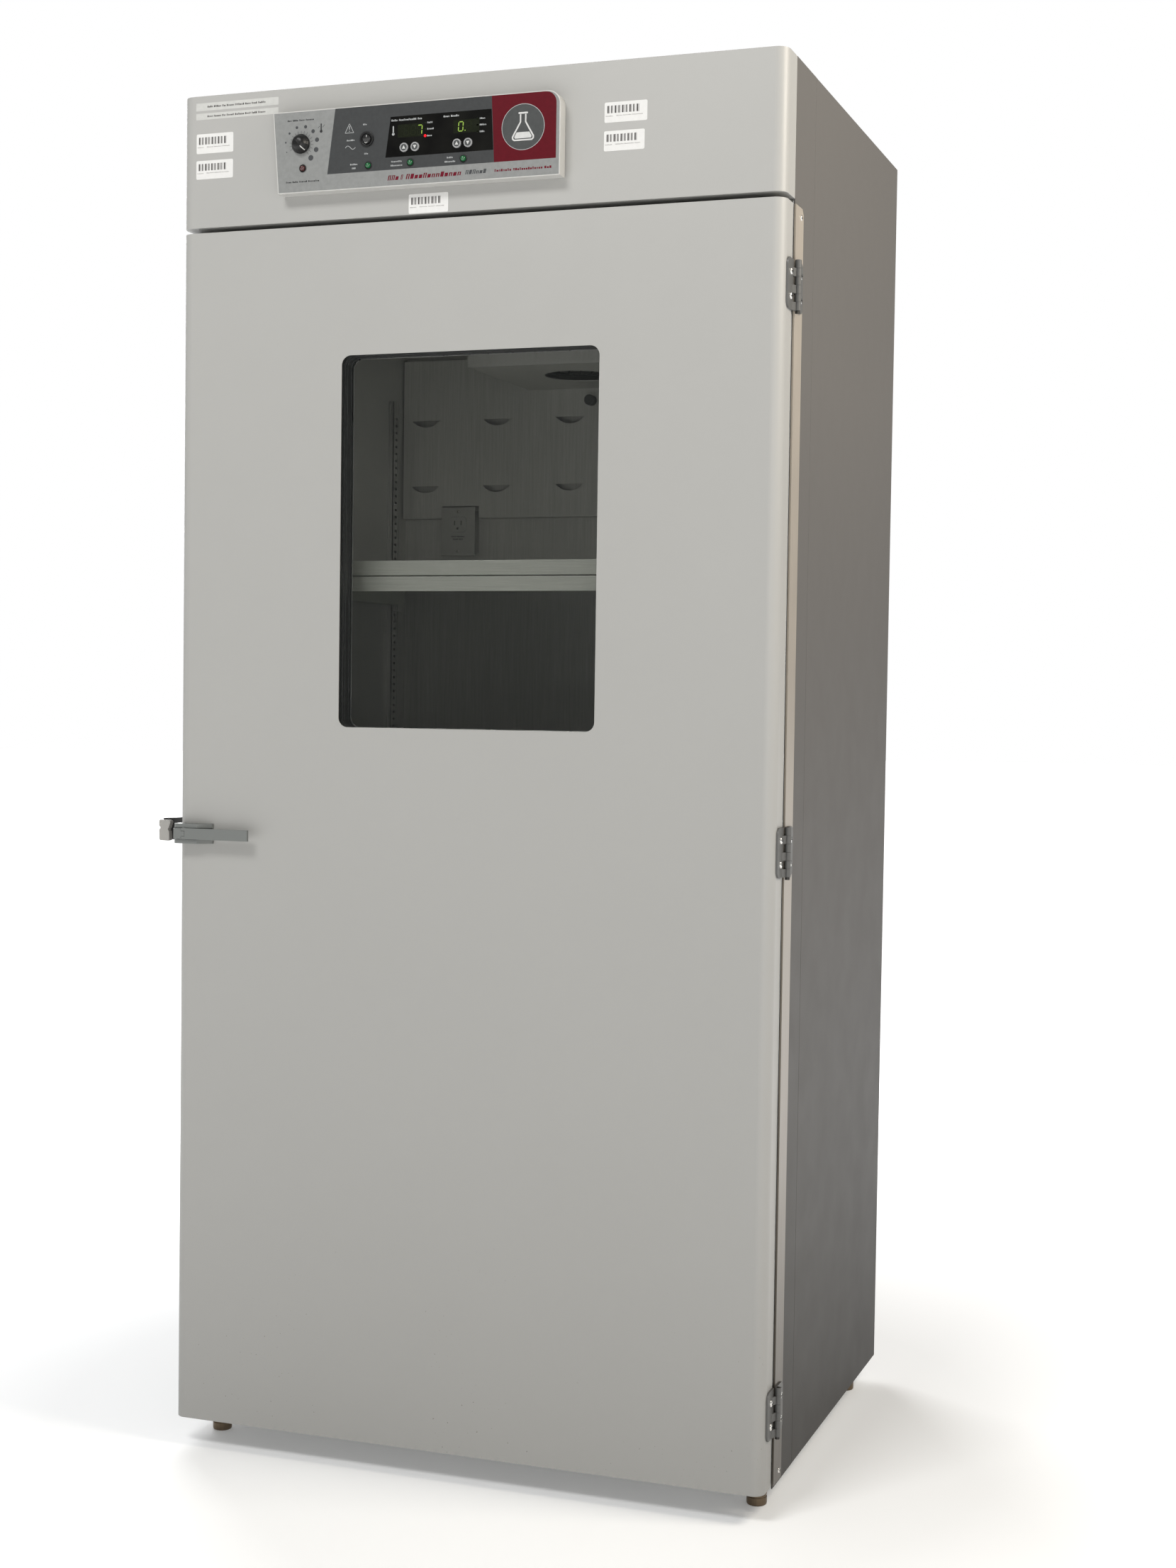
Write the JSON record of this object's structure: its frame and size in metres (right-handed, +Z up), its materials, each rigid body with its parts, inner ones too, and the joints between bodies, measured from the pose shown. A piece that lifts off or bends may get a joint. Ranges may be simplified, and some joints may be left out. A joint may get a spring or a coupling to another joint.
{
  "type": "laboratory incubator",
  "caption": "Tall insulated laboratory incubator with a hinged windowed door, lever latch, header control panel, shelves, air duct and levelling feet.",
  "frame": {"origin": "centre of the whole object's box, at floor level under the levelling feet", "axes": "+Z up, the longest way; the door faces -Y and its hinges are on the +X side"},
  "size_m": [1.0458, 0.838, 2.145],
  "materials": {
    "case_paint": "satin light grey enamel",
    "side_paint": "satin mid grey enamel",
    "frame_steel": "brushed stainless",
    "liner_steel": "satin stainless",
    "bar_steel": "bright stainless",
    "dark_steel": "dark phosphate",
    "hinge_paint": "grey enamel, slightly worn",
    "latch_paint": "grey enamel",
    "strike_paint": "cast, light grey enamel",
    "bright_steel": "polished",
    "foam": "rigid foam",
    "foot": "dull dark brown",
    "gasket": "soft matte",
    "glass": "clear",
    "dark_plastic": "matte black",
    "window_trim": "dark grey",
    "housing": "off-white moulding",
    "overlay": "printed film",
    "lens": "dark smoked",
    "lamp": "translucent dome",
    "key": "light grey",
    "board": "laminate",
    "supply": "plated",
    "brass": "machined",
    "outlet": "moulded",
    "heater": "heat tinted",
    "sensor": "sintered cap and moulded body"
  },
  "bodies": {
    "cabinet": {"case_front_strips": "side_paint", "case_left_panel": "side_paint", "case_right_panel": "side_paint", "case_top_panel": "case_paint", "case_rear_panel": "side_paint", "base_pan": "frame_steel", "opening_frame": "frame_steel", "electronics_deck": "frame_steel", "cabinet_insulation": "foam", "chamber_liner": "liner_steel", "air_duct": "liner_steel", "shelf_standards": "liner_steel", "shelf_clips": "frame_steel", "shelf_lower": "frame_steel", "shelf_middle": "frame_steel", "shelf_upper": "frame_steel", "interior_outlet": "outlet", "blower_housing": "liner_steel", "blower_motor": "dark_steel", "heating_element": "heater", "chamber_sensors": "sensor", "water_pan": "liner_steel", "control_board": "board", "power_supply": "supply", "gas_valve": "brass", "gas_fitting": "brass", "power_inlet": "dark_plastic", "header_cover": "case_paint", "control_housing": "housing", "panel_overlay": "overlay", "display_window": "lens", "panel_lamps": "lamp", "switch_bezel": "dark_plastic", "strike_bracket": "dark_steel", "strike_block": "strike_paint", "hinge_bar": "bar_steel", "hinge_leaves_cabinet": "hinge_paint", "hinge_pins": "dark_steel", "screws_cabinet": "bright_steel", "levelling_feet": "foot"},
    "door": {"door_skin": "case_paint", "door_inner_panel": "frame_steel", "door_insulation": "foam", "outer_pane": "glass", "inner_pane": "glass", "window_frame": "window_trim", "door_gasket": "gasket", "hinge_leaves_door": "hinge_paint", "screws_door": "bright_steel", "latch_base": "latch_paint", "latch_pin": "bright_steel"},
    "latch": {"latch_lever": "latch_paint", "latch_claw": "latch_paint"},
    "knob": {"safety_knob": "dark_plastic"},
    "rocker": {"power_rocker": "dark_plastic"},
    "temp_up": {"temp_up_button": "key"},
    "temp_down": {"temp_down_button": "key"},
    "gas_up": {"gas_up_button": "key"},
    "gas_down": {"gas_down_button": "key"},
    "blower": {"blower_wheel": "sensor"}
  },
  "joints": [
    {"name": "door_swing", "type": "hinge", "parent": "cabinet", "child": "door", "pos_m": [0.5181, -0.329, 0.989], "axis": [0, 0, 1], "range_deg": [0, 170]},
    {"name": "latch_turn", "type": "hinge", "parent": "door", "child": "latch", "pos_m": [-0.4389, -0.395, 0.988], "axis": [0, 0, -1], "range_deg": [0, 35], "stiffness_Nm_per_rad": 0.6},
    {"name": "knob_turn", "type": "hinge", "parent": "cabinet", "child": "knob", "pos_m": [-0.2483, -0.411, 2.0522], "axis": [0, 1, 0], "range_deg": [-270, 0]},
    {"name": "rocker_tilt", "type": "hinge", "parent": "cabinet", "child": "rocker", "pos_m": [-0.1377, -0.4005, 2.0521], "axis": [1, 0, 0], "range_deg": [0, 16]},
    {"name": "temp_up_press", "type": "slide", "parent": "cabinet", "child": "temp_up", "axis": [0, 1, 0], "range_m": [0, 0.0008], "stiffness_N_per_m": 400},
    {"name": "temp_down_press", "type": "slide", "parent": "cabinet", "child": "temp_down", "axis": [0, 1, 0], "range_m": [0, 0.0008], "stiffness_N_per_m": 400},
    {"name": "gas_up_press", "type": "slide", "parent": "cabinet", "child": "gas_up", "axis": [0, 1, 0], "range_m": [0, 0.0008], "stiffness_N_per_m": 400},
    {"name": "gas_down_press", "type": "slide", "parent": "cabinet", "child": "gas_down", "axis": [0, 1, 0], "range_m": [0, 0.0008], "stiffness_N_per_m": 400},
    {"name": "blower_spin", "type": "hinge", "parent": "cabinet", "child": "blower", "pos_m": [0.0211, 0.119, 1.8], "axis": [0, 0, 1], "continuous": true}
  ]
}
